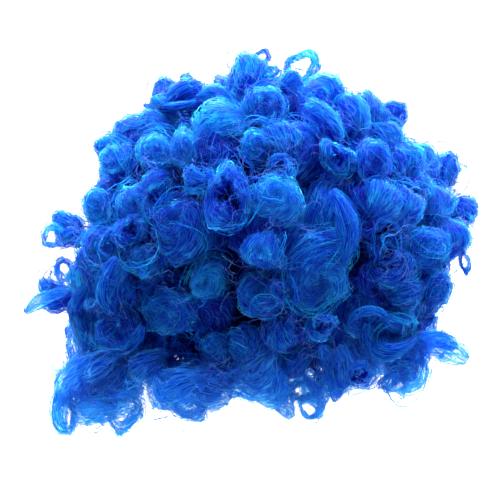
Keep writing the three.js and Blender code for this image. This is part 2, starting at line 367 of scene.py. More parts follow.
# The curls that show best in the photograph: the middle of each and how far across it is, in the
# photograph's pixels, how many times longer than that it is, and which way that points, in degrees
# anticlockwise from the right. Bells, rolls and wisps wind about the way they point, and the others about
# the line of sight.
SeenCurl = namedtuple("SeenCurl", "x y across kind longer lean", defaults=(1.0, 0))
SEEN_CURLS = [
    SeenCurl(248, 72, 36, "bell", 1.25, 80),
    SeenCurl(259, 58, 16, "loop"),
    SeenCurl(270, 72, 12, "loop"),
    SeenCurl(188, 82, 14, "wisp", 1.3, 100),
    SeenCurl(186, 94, 24, "bell", 2.0, 5),
    SeenCurl(213, 96, 26, "bell", 1.4, 0),
    SeenCurl(224, 128, 48, "bell", 1.15, 40),
    SeenCurl(131, 131, 34, "swirl", 1.15, 20),
    SeenCurl(107, 147, 22, "swirl"),
    SeenCurl(116, 162, 32, "swirl"),
    SeenCurl(157, 151, 32, "swirl"),
    SeenCurl(185, 153, 22, "swirl", 1.6, 90),
    SeenCurl(155, 184, 30, "bell", 1.1, 60),
    SeenCurl(140, 206, 36, "swirl", 1.1, 0),
    SeenCurl(203, 178, 22, "roll", 1.5, 85),
    SeenCurl(228, 194, 40, "ring", 1.4, 95),
    SeenCurl(185, 228, 52, "swirl", 1.15, 80),
    SeenCurl(66, 224, 24, "bell", 1.3, 175),
    SeenCurl(51, 238, 20, "loop"),
    SeenCurl(70, 234, 22, "bell", 1.2, 0),
    SeenCurl(132, 229, 24, "ring", 1.2, 60),
    SeenCurl(105, 242, 38, "swirl", 1.0, 0),
    SeenCurl(299, 66, 30, "loop", 1.1, 40),
    SeenCurl(292, 82, 20, "bell", 1.3, 20),
    SeenCurl(322, 92, 36, "bell", 1.2, 120),
    SeenCurl(350, 113, 26, "bell", 1.9, 92),
    SeenCurl(373, 112, 24, "bell", 2.1, 92),
    SeenCurl(395, 112, 20, "bell", 1.4, 125),
    SeenCurl(166, 92, 22, "bell", 1.3, 20),
    SeenCurl(262, 106, 34, "swirl", 1.2, 100),
    SeenCurl(289, 142, 38, "bell", 1.1, 80),
    SeenCurl(279, 168, 22, "ring", 1.2, 90),
    SeenCurl(325, 122, 26, "bell", 1.9, 125),
    SeenCurl(336, 156, 26, "ring", 1.3, 115),
    SeenCurl(376, 162, 30, "swirl", 1.3, 90),
    SeenCurl(380, 198, 34, "bell", 1.2, 92),
    SeenCurl(405, 160, 28, "bell", 1.3, 80),
    SeenCurl(421, 154, 22, "swirl"),
    SeenCurl(445, 172, 30, "swirl", 1.2, 60),
    SeenCurl(439, 205, 30, "bell", 1.1, 120),
    SeenCurl(466, 210, 26, "bell", 1.2, 0),
    SeenCurl(455, 238, 34, "bell", 1.1, 70),
    SeenCurl(279, 206, 40, "swirl"),
    SeenCurl(409, 205, 26, "bell", 1.6, 80),
    SeenCurl(384, 244, 26, "nest", 1.3, 95),
    SeenCurl(464, 260, 12, "loop", 1.8, 80),
    SeenCurl(55, 294, 30, "bell", 1.2, 150),
    SeenCurl(44, 288, 12, "wisp", 1.4, 120),
    SeenCurl(65, 270, 17, "loop", 1.2, 80),
    SeenCurl(115, 286, 38, "bell", 1.3, 95),
    SeenCurl(170, 305, 50, "swirl"),
    SeenCurl(206, 281, 32, "swirl", 1.1, 60),
    SeenCurl(118, 328, 40, "swirl"),
    SeenCurl(98, 374, 36, "bell", 1.6, 8),
    SeenCurl(74, 384, 36, "bell", 1.4, 85),
    SeenCurl(104, 402, 32, "bell", 1.5, 10),
    SeenCurl(126, 386, 28, "bell", 1.3, 0),
    SeenCurl(67, 416, 22, "loop", 1.8, 80),
    SeenCurl(88, 412, 26, "wisp", 1.5, 20),
    SeenCurl(122, 408, 32, "loop"),
    SeenCurl(185, 386, 50, "bell", 1.15, 0),
    SeenCurl(190, 405, 30, "loop"),
    SeenCurl(217, 346, 28, "swirl"),
    SeenCurl(145, 364, 32, "bell", 1.3, 0),
    SeenCurl(262, 376, 46, "bell", 1.2, 10),
    SeenCurl(314, 264, 68, "swirl"),
    SeenCurl(288, 291, 23, "ring"),
    SeenCurl(259, 250, 30, "bell", 1.2, 100),
    SeenCurl(258, 293, 38, "swirl", 1.2, 70),
    SeenCurl(424, 254, 44, "swirl", 1.1, 0),
    SeenCurl(433, 288, 32, "swirl", 1.2, 80),
    SeenCurl(403, 292, 34, "bell", 1.4, 30),
    SeenCurl(392, 330, 34, "swirl", 1.2, 0),
    SeenCurl(424, 324, 22, "loop", 1.2, 0),
    SeenCurl(403, 368, 42, "swirl"),
    SeenCurl(390, 382, 18, "loop"),
    SeenCurl(412, 383, 20, "loop"),
    SeenCurl(360, 374, 26, "ring"),
    SeenCurl(302, 391, 26, "loop"),
    SeenCurl(309, 410, 22, "loop"),
    SeenCurl(322, 325, 24, "ring"),
    SeenCurl(281, 336, 32, "bell", 1.3, 90),
    SeenCurl(100, 205, 30, "swirl"),
    SeenCurl(90, 262, 24, "swirl"),
    SeenCurl(245, 345, 30, "swirl"),
    SeenCurl(146, 262, 36, "swirl"),
    SeenCurl(296, 364, 26, "bell", 1.3, 80),
    SeenCurl(228, 374, 24, "swirl"),
    SeenCurl(254, 150, 26, "swirl"),
]

# The long locks that show in the photograph, each as how far across it is and four places along it, in the
# photograph's pixels, whether it has a body or is only a haze, and whether it hangs free from its first
# place.
SeenTress = namedtuple("SeenTress", "across places bodied free", defaults=(True, False))
SEEN_TRESSES = [
    SeenTress(17, ((367, 322), (370, 344), (390, 352), (416, 338))),
    SeenTress(9, ((350, 322), (362, 312), (378, 312), (386, 324))),
    SeenTress(14, ((384, 316), (398, 326), (416, 325), (434, 316))),
    SeenTress(18, ((322, 346), (331, 362), (337, 380), (335, 400)), False),
    SeenTress(16, ((338, 346), (344, 358), (346, 372), (344, 388)), False),
    SeenTress(20, ((278, 368), (279, 386), (283, 402), (292, 418)), False),
    SeenTress(9, ((304, 374), (313, 388), (321, 404), (310, 418)), False),
    SeenTress(18, ((72, 384), (62, 400), (59, 418), (66, 436)), False),
    SeenTress(16, ((88, 284), (76, 304), (78, 324), (94, 342))),
    SeenTress(18, ((118, 258), (108, 276), (106, 296), (114, 314))),
    SeenTress(14, ((98, 330), (112, 344), (130, 342), (142, 326))),
    SeenTress(20, ((332, 190), (344, 212), (348, 236), (338, 264))),
    SeenTress(9, ((144, 105), (160, 107), (178, 106), (196, 101))),
    SeenTress(13, ((68, 291), (50, 296), (36, 304), (25, 313)), False, True),
    SeenTress(25, ((420, 340), (436, 345), (452, 352), (467, 361)), False, True),
    SeenTress(16, ((418, 338), (432, 338), (446, 342), (456, 348)), False, True),
]

# The edge of the hair in the photograph, in its pixels, without the thin wisps that stand out from it. The
# curls that aren't listed are kept within it.
HAIR_EDGE = np.array([
    (84, 250), (82, 212), (90, 185), (100, 155), (120, 123), (145, 111), (160, 94), (182, 84),
    (222, 86), (236, 62), (249, 52), (265, 62), (277, 82), (300, 66), (316, 74), (333, 79),
    (343, 91), (362, 93), (379, 90), (400, 112), (404, 138), (430, 156), (455, 162), (455, 190),
    (476, 206), (476, 222), (465, 248), (452, 270), (448, 300), (435, 315), (438, 335), (426, 362),
    (420, 382), (400, 386), (377, 372), (362, 384), (334, 394), (312, 408), (284, 412), (250, 394),
    (228, 392), (212, 404), (188, 414), (162, 408), (146, 396), (112, 408), (66, 424), (57, 400),
    (62, 364), (86, 352), (73, 325), (80, 300), (66, 288), (78, 264),
])

# The curls that make up that edge: how far apart they sit and how far across they are, in the photograph's
# pixels, how many times longer that is, how far they lean away from the edge's own way, in degrees, how near
# they may come to the curls of the table, how far in from the edge they sit and how near they may come to
# the rest of it, as shares of their size, and how much lighter they are painted, as painted light on the edge
# that is lit from behind.
EDGE_SPACING = 20
EDGE_ACROSS = (26, 38)
EDGE_LONGER = 1.3
EDGE_LEAN_SPREAD = 30
EDGE_CLOSENESS = 0.55
EDGE_INSET = 0.43
EDGE_INSIDE = 0.4
EDGE_FINER = 8
EDGE_PAINTED_LIGHT = 0.1

# The dark gaps between the curls in the photograph, where the net is near: the middle of each and how far
# across it is, in the photograph's pixels.
SeenGap = namedtuple("SeenGap", "x y across")
SEEN_GAPS = [
    SeenGap(224, 240, 24), SeenGap(222, 310, 28), SeenGap(174, 124, 22), SeenGap(334, 303, 18),
    SeenGap(170, 356, 12), SeenGap(384, 250, 32), SeenGap(374, 276, 22), SeenGap(354, 332, 12),
    SeenGap(296, 318, 12), SeenGap(315, 378, 12), SeenGap(357, 347, 12), SeenGap(369, 359, 14),
]

# Curls that fill in between those, and on the sides that the photograph doesn't show, largest first: how far
# across, how closely they sit, and how often each kind comes. Near the curls of the table they lie deeper,
# and get painted shade there, darker in tone. The last three are for the curls under them all, painted dark
# as shade.
FILL_ACROSS = np.array((46, 38, 30)) * MM
FILL_CLOSENESS = 0.76
SEEN_CLOSENESS = 0.9
FILL_HAIRED = 0.45
FILL_TRIES = 6000
FILL_KINDS = ("swirl", "bell", "ring", "roll")
FILL_CHANCES = (0.3, 0.62, 0.04, 0.04)
FILL_TILT = 0.6
FILL_DEEPER = 0.4
FILL_DEEPER_PAINTED_SHADE = 0.3
FILL_ROOM = 0.6
FILL_OUTWARD = 0.5
FILL_LOWEST = 6 * MM
FILL_HANGING = 1.2
FILL_SWIRL_SIZES = np.array((1.1, 1, 0.9))
FILL_BELL_SIZES = (0.8, 0.9)
FILL_LONGER = (1.3, 2.1)
UNDER_ACROSS = 36 * MM
UNDER_DEEPER = 6 * MM
UNDER_PAINTED_SHADE = -0.3

# Near the table the ends are thin: below this height the bodies of the curls are smaller, by this much at
# most.
HEM_THIN_BELOW = 60 * MM
HEM_THINNER = 0.66

# A curl's middle, its three axes as rows, two across it and the one it winds about, its half sizes along
# them, how far its two ends dip and sway, the way the hair faces there, the number of its lock, how much
# lighter than usual it is, its share of the usual number of strands, 1 or -1 for the hand of its winding, and
# the turn at which its snail shape starts. A kind says whether it winds about the line of sight, how far its
# middle lies under the hair's surface, how far its ends dip, which layers it has, and its share of the usual
# strands.
Curl = namedtuple("Curl", "kind middle axes sizes arch normal lock tone haired hand start")
Kind = namedtuple("Kind", "about_sight sunk arch layers strands")
KINDS = {
    "swirl": Kind(True, 0.95, 0.0, ("body", "haze", "fuzz"), 1.0),
    "bell": Kind(False, 0.9, 0.8, ("body", "haze", "fuzz"), 1.0),
    "ring": Kind(True, 0.25, 0.0, ("body", "haze", "fuzz"), 1.0),
    "roll": Kind(False, 0.8, 0.3, ("body", "haze", "fuzz"), 1.0),
    "loop": Kind(True, 0.1, 0.0, ("haze", "fuzz"), 1.2),
    "wisp": Kind(False, 0.4, 0.5, ("haze", "fuzz"), 1.6),
    "nest": Kind(True, 0.1, 0.0, (), 0.8),
    "inner": Kind(True, 0.0, 0.0, ("body", "haze"), 0.1),
}
CURL_SWAY = 0.25
CURL_FLATNESS = 0.9
FACING_HAIR, FACING_VIEW, FACING_ASKEW = 0.6, 0.4, 0.3
SIGHT_REACH = 200 * MM
SIGHT_STEPS = 161


def lock_triangles():
    """The corners of every triangle of the frame's locks, and the number of the lock that each belongs to."""
    corners, owners = [], []
    for number, lock in enumerate(lock_names):
        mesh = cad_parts[lock].data
        mesh.calc_loop_triangles()
        places = np.empty(3 * len(mesh.vertices))
        mesh.vertices.foreach_get("co", places)
        faces = np.empty(3 * len(mesh.loop_triangles), np.int32)
        mesh.loop_triangles.foreach_get("vertices", faces)
        corners.append(places.reshape(-1, 3)[faces].reshape(-1, 3, 3))
        owners.append(np.full(len(faces) // 3, number))
    return np.concatenate(corners), np.concatenate(owners)


lock_names = sorted(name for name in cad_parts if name.startswith("lock_"))
triangles, triangle_lock = lock_triangles()
hair_surface = BVHTree.FromPolygons(
    triangles.reshape(-1, 3).tolist(), np.arange(3 * len(triangles)).reshape(-1, 3).tolist()
)


def hair_normal(place, face_normal):
    """The way the hair faces: halfway between its solid's own face and straight out from its middle."""
    return unit(unit(np.array(face_normal)) + unit(place - HAIR_MIDDLE))


def curl_axes(axis, pointing):
    """Three axes at right angles: one as near to pointing as is square to axis, the one square to both, and
    axis itself."""
    first = unit(pointing - axis * (pointing @ axis))
    return np.stack([first, np.cross(axis, first), axis])


def followed(x, y, deeper):
    """Follows a pixel's line of sight to the locks and so far deeper, or to where it passes nearest to them.
    Returns the place, the way the hair faces there and the number of the lock."""
    across = view_right * (x - PICTURE_MIDDLE) + view_up * (PICTURE_MIDDLE - y)
    sight = unit(across * PIXEL - view_back * VIEW_DISTANCE)
    place, normal, face, _ = hair_surface.ray_cast(view_eye, sight)
    if place is None:
        steps = np.linspace(VIEW_DISTANCE - SIGHT_REACH, VIEW_DISTANCE + SIGHT_REACH, SIGHT_STEPS)
        found = [hair_surface.find_nearest(view_eye + sight * step) for step in steps]
        nearest = min(range(len(steps)), key=lambda step: found[step][3])
        _, normal, face, _ = found[nearest]
        place = view_eye + sight * steps[nearest]
    else:
        place = np.array(place) + sight * deeper
    return place, hair_normal(place, normal), triangle_lock[face]


def seen_curl(seen):
    """The curl of a row of the table, set on its pixel's line of sight, so far behind the hair's surface as
    its kind is sunk. It faces between the way the hair does and the view, a little askew."""
    radius = 0.5 * SEEN_FULLNESS * seen.across * PIXEL
    middle, normal, lock = followed(seen.x, seen.y, radius * KINDS[seen.kind].sunk)
    askew = unit(CHANCE.normal(0, 1, 3))
    facing = unit(FACING_HAIR * normal + FACING_VIEW * view_back + FACING_ASKEW * askew)
    lean = np.radians(seen.lean)
    pointing = view_right * np.cos(lean) + view_up * np.sin(lean)
    if KINDS[seen.kind].about_sight:
        axes = curl_axes(facing, pointing)
        sizes = radius * np.array((seen.longer, 1, CURL_FLATNESS))
    else:
        axes = curl_axes(unit(pointing - facing * (pointing @ facing)), facing)
        sizes = radius * np.array((CURL_FLATNESS, 1, seen.longer))
    arch = (KINDS[seen.kind].arch, CHANCE.normal(0, CURL_SWAY))
    hand, start, tone = CHANCE.choice((1, -1)), CHANCE.random(), CHANCE.normal(0, TONE_SPREAD)
    return Curl(seen.kind, middle, axes, sizes, arch, normal, lock, tone, 1.0, hand, start)


def edge_curls():
    """Curls set evenly along the hair's edge, just within it, each leaning along it, wherever no curl of the
    table is there already."""
    edge = np.vstack([HAIR_EDGE, HAIR_EDGE[:1]])
    walked = np.append(0, np.linalg.norm(np.diff(edge, axis=0), axis=-1).cumsum())
    stops = np.arange(0, walked[-1], EDGE_SPACING)
    places = np.stack([np.interp(stops, walked, edge[:, way]) for way in (0, 1)], -1)
    ahead = unit(np.roll(places, -1, axis=0) - np.roll(places, 1, axis=0))
    inward = np.stack([-ahead[:, 1], ahead[:, 0]], -1)
    across = CHANCE.uniform(*EDGE_ACROSS, len(places))
    places = places + inward * across[:, None] * EDGE_INSET
    leans = np.degrees(np.arctan2(-ahead[:, 1], ahead[:, 0]))
    leans = leans + CHANCE.normal(0, EDGE_LEAN_SPREAD, len(places))
    seen = np.array([(row.x, row.y) for row in SEEN_CURLS + SEEN_GAPS])
    seen_across = np.array([row.across for row in SEEN_CURLS + SEEN_GAPS])
    apart = np.linalg.norm(places[:, None] - seen, axis=-1)
    free = np.all(apart > EDGE_CLOSENESS * (across[:, None] + seen_across) / 2, axis=1)
    finely = np.linspace(0, walked[-1], EDGE_FINER * len(stops))
    edge = np.stack([np.interp(finely, walked, edge[:, way]) for way in (0, 1)], -1)
    inside = np.linalg.norm(places[:, None] - edge, axis=-1).min(axis=1) > EDGE_INSIDE * across
    kept = zip(*(values[free & inside] for values in (places, across, leans)))
    curls = [seen_curl(SeenCurl(*place, size, "bell", EDGE_LONGER, lean)) for place, size, lean in kept]
    # Edge curls get a fixed lighter tone: painted light for the edge that is lit from behind.
    return [curl._replace(tone=EDGE_PAINTED_LIGHT, haired=FILL_HAIRED) for curl in curls]


def within_edge(middle, radius):
    """Moves a curl's middle across the line of sight, towards the picture's middle, until the whole curl is
    within the hair's edge there. The edge is read as a reach at each bearing from the picture's middle."""
    edge = HAIR_EDGE - PICTURE_MIDDLE
    bearings = np.arctan2(edge[:, 1], edge[:, 0])
    away = middle - view_eye
    scale = VIEW_DISTANCE / -(away @ view_back) / PIXEL
    x, y = (away @ view_right) * scale, -(away @ view_up) * scale
    reach = np.hypot(x, y)
    most = np.interp(np.arctan2(y, x), bearings, np.hypot(edge[:, 0], edge[:, 1]), period=2 * np.pi)
    over = max(reach + radius * scale - most, 0)
    return middle + (view_up * y - view_right * x) * over / reach / scale


def filling_curls(seen):
    """Throws curls at the outer faces of the locks, the largest first, and keeps each one that doesn't crowd
    the ones already there or the gaps. The long ones mostly hang."""
    centres = triangles.mean(axis=1)
    crossed = np.cross(triangles[:, 1] - triangles[:, 0], triangles[:, 2] - triangles[:, 0])
    area = np.linalg.norm(crossed, axis=-1) / 2
    facing = np.sum(unit(crossed) * unit(centres - HAIR_MIDDLE), axis=-1)
    outer = (facing > FILL_OUTWARD) & (centres[:, 2] > FILL_LOWEST)
    chosen = CHANCE.choice(len(area), FILL_TRIES, p=area * outer / np.sum(area * outer))
    places = np.einsum("tc,tcd->td", CHANCE.dirichlet((1, 1, 1), FILL_TRIES), triangles[chosen])
    kinds = CHANCE.choice(FILL_KINDS, FILL_TRIES, p=FILL_CHANCES)
    tilts = unit(CHANCE.normal(0, 1, (FILL_TRIES, 3)))
    taken = [curl.middle + curl.normal * curl.sizes[1] for curl in seen]
    taken = np.array(taken + [followed(gap.x, gap.y, 0.0)[0] for gap in SEEN_GAPS])
    radii = [curl.sizes[1] * np.cbrt(curl.sizes.max() / curl.sizes[1]) for curl in seen]
    radii = np.array(radii + [0.5 * gap.across * PIXEL for gap in SEEN_GAPS])
    closeness = np.full(FILL_TRIES, FILL_CLOSENESS)
    closeness[:len(seen)] = SEEN_CLOSENESS
    curls = []
    for across in FILL_ACROSS:
        for place, face, kind, tilt in zip(places, chosen, kinds, tilts):
            gaps = np.linalg.norm(taken - place, axis=-1) - closeness[:len(taken)] * (radii + across / 2)
            if np.any(gaps < 0):
                continue
            taken = np.vstack([taken, place])
            radii = np.append(radii, across / 2)
            normal = hair_normal(place, crossed[face])
            deeper = FILL_DEEPER * np.any(gaps[:len(seen)] < across / 2)
            sunk = place - normal * across / 2 * (KINDS[kind].sunk + deeper)
            if KINDS[kind].about_sight:
                axes = curl_axes(unit(normal + FILL_TILT * tilt), tilt)
                sizes = across / 2 * FILL_SWIRL_SIZES
            else:
                hanging = np.cross(normal, tilt) - FILL_HANGING * (view_up - normal * (view_up @ normal))
                axes = curl_axes(unit(hanging), normal)
                sizes = across / 2 * np.array((*FILL_BELL_SIZES, CHANCE.uniform(*FILL_LONGER)))
            middle = within_edge(sunk, FILL_ROOM * across)
            arch = (KINDS[kind].arch, CHANCE.normal(0, CURL_SWAY))
            # Curls that lie deeper near the table's curls get painted shade, darker in tone.
            tone = CHANCE.normal(0, TONE_SPREAD) - FILL_DEEPER_PAINTED_SHADE * deeper
            hand, start = CHANCE.choice((1, -1)), CHANCE.random()
            lock = triangle_lock[face]
            curls.append(Curl(kind, middle, axes, sizes, arch, normal, lock, tone, FILL_HAIRED, hand, start))
    return curls


def under_curls():
    """One curl in the middle of each lock, painted dark as shade, which closes the gaps between the outer
    ones, and one on the top of the net, between the locks of the crown."""
    numbers = list(range(len(lock_names)))
    middles = [triangles[triangle_lock == number].mean(axis=(0, 1)) for number in numbers]
    numbers.append(lock_names.index("lock_crown_01"))
    middles.append(on_cap(0, np.pi / 2, UNDER_ACROSS / 2))
    curls = []
    for number, middle in zip(numbers, middles):
        normal = unit(middle - HAIR_MIDDLE)
        middle = within_edge(middle - normal * UNDER_DEEPER, FILL_ROOM * UNDER_ACROSS)
        axes = curl_axes(normal, CHANCE.normal(0, 1, 3))
        thinner = HEM_THINNER * max(1 - middle[2] / HEM_THIN_BELOW, 0)
        sizes = np.full(3, (1 - thinner) * UNDER_ACROSS / 2)
        start = CHANCE.random()
        # The under curls get painted shade, a deep tone.
        curls.append(Curl("inner", middle, axes, sizes, (0, 0), normal, number, UNDER_PAINTED_SHADE, 1.0, 1, start))
    return curls


DIMPLE_DEPTH = 0.38
DIMPLE_REACH = 0.26


def ball_shape(longitude, latitude):
    """A unit ball whose upper pole is sunk: the unit vector at a longitude and latitude, lowered by a dimple
    that fades within a quarter of the radius. Returns the places and the ways out."""
    level = np.cos(latitude)
    ways = np.broadcast_arrays(level * np.cos(longitude), level * np.sin(longitude), np.sin(latitude))
    outward = np.stack(ways, -1)
    dimple = DIMPLE_DEPTH * np.exp(-(level / DIMPLE_REACH) ** 2) * (latitude > 0)
    return outward - np.multiply.outer(np.broadcast_to(dimple, outward.shape[:-1]), (0, 0, 1)), outward


def tube_shape(longitude, section, hole, depth):
    """A tube wall with a rounded lip, a unit in radius. section walks from the foot of the hole's side, over
    the half circle of the lip, to the foot of the outside, from 0 to 1. Returns the places and the ways
    out."""
    lip = (1 - hole) / 2
    side = depth - lip
    walked = section * (2 * side + np.pi * lip)
    angle = np.clip((walked - side) / lip, 0, np.pi)
    sunk = np.maximum(side - walked, 0) + np.maximum(walked - side - np.pi * lip, 0)
    across = hole + lip - lip * np.cos(angle)
    high = lip * np.sin(angle) - sunk
    sideways = -np.cos(angle)
    places = np.broadcast_arrays(across * np.cos(longitude), across * np.sin(longitude), high)
    ways = np.broadcast_arrays(sideways * np.cos(longitude), sideways * np.sin(longitude), np.sin(angle))
    return np.stack(places, -1), unit(np.stack(ways, -1) + (0, 0, TUBE_LEAN))


# How steeply the fibres of a ball-shaped curl cross its meridians, in degrees, how much that varies between
# wisps and within one, and its limits. Then the lowest and highest latitude of a strand, how far under the
# highest a wisp and each of its strands start at least, how far up they climb, and how far round they go at
# most.
BALL_SLANTS = {"swirl": 70, "bell": 32, "wisp": 14, "inner": 60}
BALL_SLANT_SPREAD = 24
BALL_SLANT_SCATTER = 3
BALL_SLANT_LEAST, BALL_SLANT_MOST = -60, 78
BALL_FOOT, BALL_TOP = np.radians((-50, 80))
BALL_WISP_BELOW = 0.5
BALL_STRAND_BELOW = 0.2
BALL_CLIMB = (0.5, 1.5)
BALL_TURN = 3.4

# The hole and depth of a tube-shaped curl, as shares of its radius, how much its ways out lean towards the
# lip, and where on the section of its wall a strand starts, how far it drifts there, and how far round it
# goes.
TUBE_WALLS = {"ring": (0.56, 1.1), "roll": (0.4, 1.3), "loop": (0.75, 0.35), "nest": (0.25, 0.5)}
TUBE_LEAN = 0.02
TUBE_STARTS = (0.05, 0.95)
TUBE_DRIFT = 0.1
TUBE_TURN = (1.5, 4.5)

# The strands: how many go round a curl for each millimetre of its radius, how many keep together as a wisp
# and how far apart they stray, half their width, how much that varies and its share at the tips, how far they
# stand off, fray, wander by how many waves, and turn askew, as shares of the radius, the radius above which
# they turn less and how much less they do so in tubes, and their darkest and lightest tone, and how much that
# varies within a wisp.
STRAND_STEPS = 11
STRANDS_PER_MM = 2.2
FEWEST_WISPS = 2
WISP_STRANDS = 3
WISP_SCATTER = 0.06
STRAND_HALF_WIDTH = 0.14 * MM
STRAND_SPREAD = 0.35
STRAND_TIP = 0.35
STRAND_LIFT = 0.12
STRAND_LIFT_SCATTER = STRAND_LIFT / 4
STRAND_FRAY = 0.2
STRAND_WANDER = 0.06
STRAND_WAVES = (0.6, 1.8)
STRAND_TURN = 0.65
STRAND_TURN_RADIUS = 13 * MM
STRAND_TURN_IN_TUBES = 0.3
STRAND_DARKEST, STRAND_LIGHTEST = 0.25, 0.95
STRAND_TONE_SCATTER = 0.1
TAPER_END = 0.03


def bunched(values, scatter):
    """The value of each wisp, given to all of its strands with a little scatter."""
    values = np.repeat(values, WISP_STRANDS, axis=0)
    return values + CHANCE.normal(0, scatter, values.shape)


def narrowed_ends(share):
    """A width that is full in the middle and narrow at both ends: the square root of the sine of half a turn,
    without its very ends."""
    return np.sqrt(np.sin(np.pi * (TAPER_END + (1 - 2 * TAPER_END) * share)))


def climb(latitude):
    """The height that a slanting spiral climbs evenly as it goes round a ball: the logarithm of the tangent
    of half the latitude and an eighth of a turn."""
    return np.log(np.tan(np.pi / 4 + latitude / 2))


def strand_lines(kind, wisps):
    """The lines that a curl's strands follow on its shape, with a share running from 0 to 1 along each. On a
    ball the longitude grows by the slant's tangent times the climb. On a tube a strand goes round while its
    place on the section drifts."""
    share = np.linspace(0, 1, STRAND_STEPS)
    start = bunched(CHANCE.uniform(0, 2 * np.pi, (wisps, 1)), WISP_SCATTER)
    if kind in TUBE_WALLS:
        section = bunched(CHANCE.uniform(*TUBE_STARTS, (wisps, 1)), WISP_SCATTER / 2)
        section = section + bunched(CHANCE.normal(0, TUBE_DRIFT, (wisps, 1)), WISP_SCATTER / 2) * share
        longitude = start + bunched(CHANCE.uniform(*TUBE_TURN, (wisps, 1)), WISP_SCATTER) * share
        return tube_shape(longitude, np.clip(section, 0, 1), *TUBE_WALLS[kind])
    low = bunched(CHANCE.uniform(BALL_FOOT, BALL_TOP - BALL_WISP_BELOW, (wisps, 1)), WISP_SCATTER)
    low = np.minimum(low, BALL_TOP - BALL_STRAND_BELOW)
    high = np.minimum(low + bunched(CHANCE.uniform(*BALL_CLIMB, (wisps, 1)), WISP_SCATTER), BALL_TOP)
    slant = bunched(CHANCE.normal(BALL_SLANTS[kind], BALL_SLANT_SPREAD, (wisps, 1)), BALL_SLANT_SCATTER)
    slant = np.radians(np.clip(slant, BALL_SLANT_LEAST, BALL_SLANT_MOST))
    risen = np.minimum(climb(high) - climb(low), BALL_TURN / np.abs(np.tan(slant))) * share
    return ball_shape(start + np.tan(slant) * risen, 2 * np.arctan(np.exp(climb(low) + risen)) - np.pi / 2)


def keep_clear(points):
    """Lifts points off the table, and moves those inside the net's ellipsoid straight out to just beyond it.
    Those within its core, a share of its size, go only part of the way. Below the rim the ellipsoid goes on
    down as an upright oval tube."""
    reach = cap_reach + CAP_CLEARANCE
    away = (points - cap_middle) / reach
    away[..., 2] = np.maximum(away[..., 2], 0)
    depth = np.linalg.norm(away, axis=-1, keepdims=True)
    pushed = points + away * reach * (1 / np.maximum(depth, CAP_CORE) - 1)
    cleared = np.where(depth < 1, pushed, points)
    cleared[..., 2] = np.maximum(cleared[..., 2], FLOOR_GAP)
    return cleared


SNAIL_GROWTH = 0.25
SNAIL_STEP = 0.17


def snail_shape(curl, places):
    """Moves places out from a curl's axis as a snail's shell grows: steadily more round most of a turn, and
    back again over the rest of it."""
    turns = (curl.hand * np.arctan2(places[..., 1], places[..., 0]) / (2 * np.pi) + curl.start) % 1
    grown = np.minimum(turns / (1 - SNAIL_STEP), (1 - turns) / SNAIL_STEP)
    return places * (1 + np.multiply.outer(SNAIL_GROWTH * (2 * grown - 1), (1, 1, 0)))


def in_place(curl, places):
    """Takes places from a curl's own unit shape to the frame: made into a snail shape, arched by the square
    of their height, stretched by its sizes and turned by its axes."""
    dip, sway = curl.arch
    arched = snail_shape(curl, places) + np.multiply.outer(places[..., 2] ** 2, (-dip, sway, 0))
    return curl.middle + (arched * curl.sizes) @ curl.axes


def painted_shading(points, middle, normal, radius):
    """How much lighter points of a curl are painted, as painted light and shade: lighter the further they are
    up from its middle, along the way the hair faces, so that the hollows get painted shade, and lighter near
    the table, as painted light from the glowing floor on the thin ends. At the back, which the tent lights
    straight on, they get painted shade, most of all in the hollows."""
    rise = np.clip((points - middle) @ normal / radius, -TONE_REACH, TONE_REACH)
    back = np.clip((points[..., 1] - BACK_START) / (BACK_FULL - BACK_START), 0, 1)
    # Painted light near the table, where the glowing floor lights the thin ends.
    thin = np.clip(1 - points[..., 2] / HEM_HEIGHT, 0, 1) * (1 - back)
    # Painted shade in the hollows and at the back, and painted light at the ends near the table.
    return (HOLLOW_PAINTED_SHADE + BACK_HOLLOW_PAINTED_SHADE * back) * rise + BACK_PAINTED_SHADE * back + HEM_PAINTED_LIGHT * thin


def wound_strands(curl):
    """The wisps of strands wound round a curl. Each wisp's winding is turned by its own small turn, its
    middle stands off the body by its own lift, and each strand wanders by slow waves and frays at its free
    end."""
    share = np.linspace(0, 1, STRAND_STEPS)
    radius = np.sqrt(curl.sizes[1] * curl.sizes.max())
    usual = STRANDS_PER_MM * radius / MM / WISP_STRANDS
    wisps = max(FEWEST_WISPS, round(usual * KINDS[curl.kind].strands * curl.haired))
    places, outward = strand_lines(curl.kind, wisps)
    askew = STRAND_TURN * min(STRAND_TURN_RADIUS / radius, 1)
    if curl.kind in TUBE_WALLS:
        askew *= STRAND_TURN_IN_TUBES
    turn = bunched(CHANCE.normal(0, askew, (wisps, 3)), WISP_SCATTER)
    places = places + np.cross(turn[:, None], places)
    lift = bunched(CHANCE.exponential(STRAND_LIFT, (wisps, 1)), STRAND_LIFT_SCATTER)
    lift = lift * np.sin(np.pi * share)
    lift = lift + CHANCE.normal(0, STRAND_FRAY, (len(places), 1)) * share ** 4
    each = (len(places), 1, 3)
    waves = CHANCE.uniform(*STRAND_WAVES, each) * share[:, None] + CHANCE.random(each)
    places = places + outward * lift[..., None] + STRAND_WANDER * np.sin(2 * np.pi * waves)
    paths = keep_clear(in_place(curl, places * (1, curl.hand, 1)))
    taper = STRAND_TIP + (1 - STRAND_TIP) * narrowed_ends(share)
    width = STRAND_HALF_WIDTH * taper * CHANCE.lognormal(0, STRAND_SPREAD, (len(places), 1))
    facing = (outward * (1, curl.hand, 1)) @ curl.axes
    rings = carry_profile(paths, facing, width, width, THREAD_CORNERS)
    tone = bunched(CHANCE.uniform(STRAND_DARKEST, STRAND_LIGHTEST, (wisps, 1, 1)), STRAND_TONE_SCATTER)
    # Painted light and shade by place on the curl, added to the wisp's own tone.
    risen = painted_shading(rings, curl.middle, curl.normal, curl.sizes[1])
    return strand_tubes(rings, tone + curl.tone + risen)
